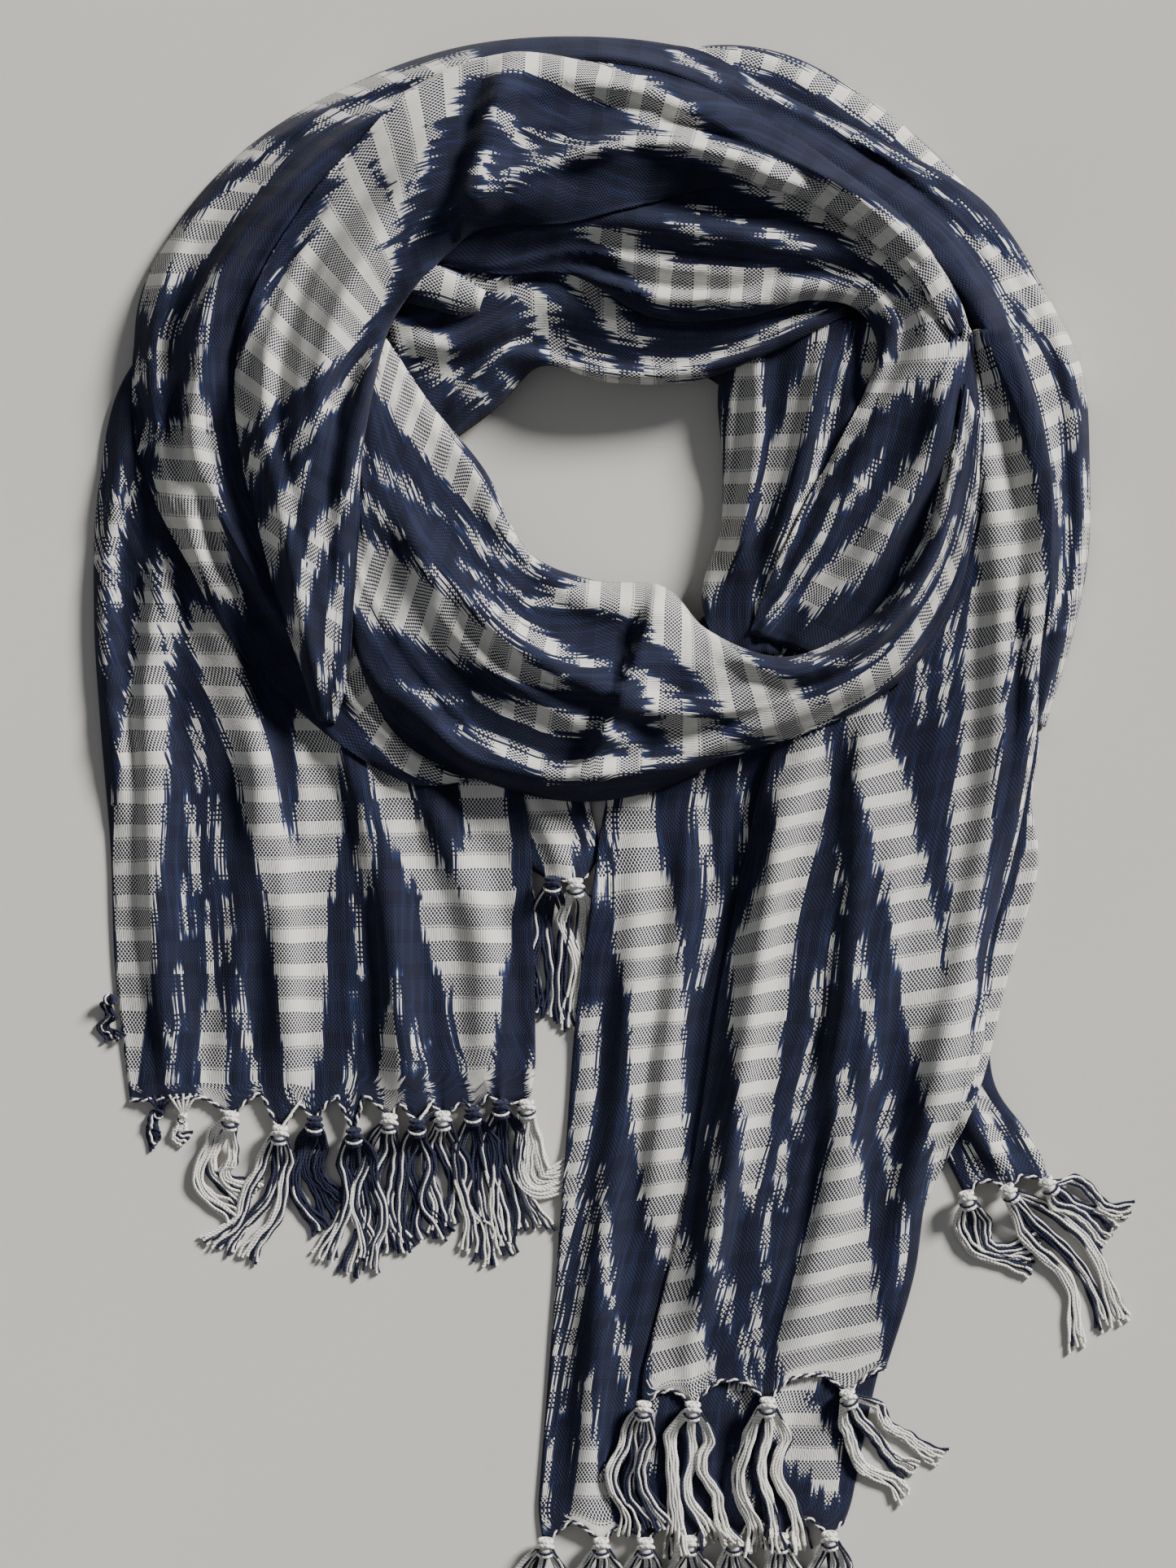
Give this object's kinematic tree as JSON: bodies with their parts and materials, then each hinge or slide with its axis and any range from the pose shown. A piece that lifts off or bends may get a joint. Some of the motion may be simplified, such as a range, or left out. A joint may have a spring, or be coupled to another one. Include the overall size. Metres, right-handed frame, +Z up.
{
  "type": "scarf",
  "caption": "Woven cotton stole with knotted fringe, laid flat on a table as if wound round a neck, with both ends hanging down in front.",
  "frame": {"origin": "middle of the underside's bounding box, on the table", "axes": "+Z up from the table, +Y from the fringed ends towards the back of the neck, +X to the wearer's left as seen from above"},
  "size_m": [0.4454, 0.712, 0.0471],
  "materials": {
    "cloth": "matt handwoven cotton, indigo and undyed white ikat stripes",
    "fringe": "matt loose cotton yarn, indigo and undyed white"
  },
  "bodies": {
    "root": {"hidden_layers": "cloth", "right_flap": "cloth", "centre_flap": "cloth", "left_tail": "cloth", "right_under": "cloth", "outer_under": "cloth", "outer_loop": "cloth", "right_inner": "cloth", "top_lip": "cloth", "right_over": "cloth", "right_turn": "cloth", "tucked_roll": "cloth", "front_swag": "cloth", "left_roll": "cloth", "left_tassel_1": "fringe", "left_tassel_2": "fringe", "left_tassel_3": "fringe", "left_tassel_4": "fringe", "left_tassel_5": "fringe", "left_tassel_6": "fringe", "left_tassel_7": "fringe", "left_tassel_8": "fringe", "left_tassel_9": "fringe", "left_tassel_10": "fringe", "left_peek_tassel": "fringe", "centre_tassel_1": "fringe", "centre_tassel_2": "fringe", "flap_tassel_1": "fringe", "flap_tassel_2": "fringe", "flap_tassel_3": "fringe", "under_tassel_1": "fringe", "under_tassel_2": "fringe", "under_tassel_3": "fringe", "under_tassel_4": "fringe", "under_tassel_5": "fringe", "under_tassel_6": "fringe", "under_tassel_7": "fringe", "over_tassel_1": "fringe", "over_tassel_2": "fringe", "over_tassel_3": "fringe", "over_tassel_4": "fringe"}
  },
  "joints": []
}
